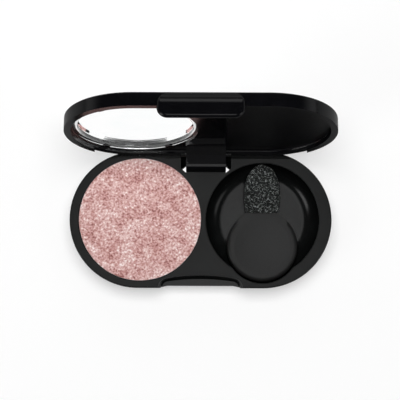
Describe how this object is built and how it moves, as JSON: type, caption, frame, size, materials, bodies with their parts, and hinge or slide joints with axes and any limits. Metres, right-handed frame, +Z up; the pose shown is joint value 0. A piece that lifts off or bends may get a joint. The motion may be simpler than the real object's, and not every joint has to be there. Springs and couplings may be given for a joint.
{
  "type": "eyeshadow compact",
  "caption": "Round-ended hinged compact with a pan of pressed powder, a lid with a clear window, and a well that holds a short foam-tipped applicator.",
  "frame": {"origin": "middle of the flat face that the compact rests on", "axes": "+X along the compact from the powder to the applicator, +Y to the hinge, +Z up"},
  "size_m": [0.0554, 0.038, 0.0366],
  "materials": {
    "base_plastic": "satin black moulded plastic",
    "lid_plastic": "gloss black moulded plastic",
    "clear_plastic": "clear polished plastic",
    "handle_plastic": "matt black moulded plastic",
    "pan_metal": "drawn sheet",
    "powder": "pressed pink powder with coarse glitter",
    "glue": "hot-melt glue",
    "pin_steel": "drawn wire",
    "foam": "dark open-cell foam"
  },
  "bodies": {
    "base": {"base_tray": "base_plastic", "bottom_cover": "base_plastic", "powder_pan": "pan_metal", "powder_cake": "powder", "pan_glue": "glue", "hinge_pin": "pin_steel"},
    "lid": {"lid_frame": "lid_plastic", "lid_cover": "lid_plastic", "lid_window": "clear_plastic"},
    "applicator": {"applicator_handle": "handle_plastic", "applicator_stem": "handle_plastic", "sponge_tip": "foam"}
  },
  "joints": [
    {"name": "lid_hinge", "type": "hinge", "parent": "base", "child": "lid", "pos_m": [0.0011, 0.01374, 0.00804], "axis": [1, 0, 0], "range_deg": [0, 105.5]},
    {"name": "applicator_lift", "type": "slide", "parent": "base", "child": "applicator", "axis": [0, 0, 1], "range_m": [0, 0.03]}
  ]
}
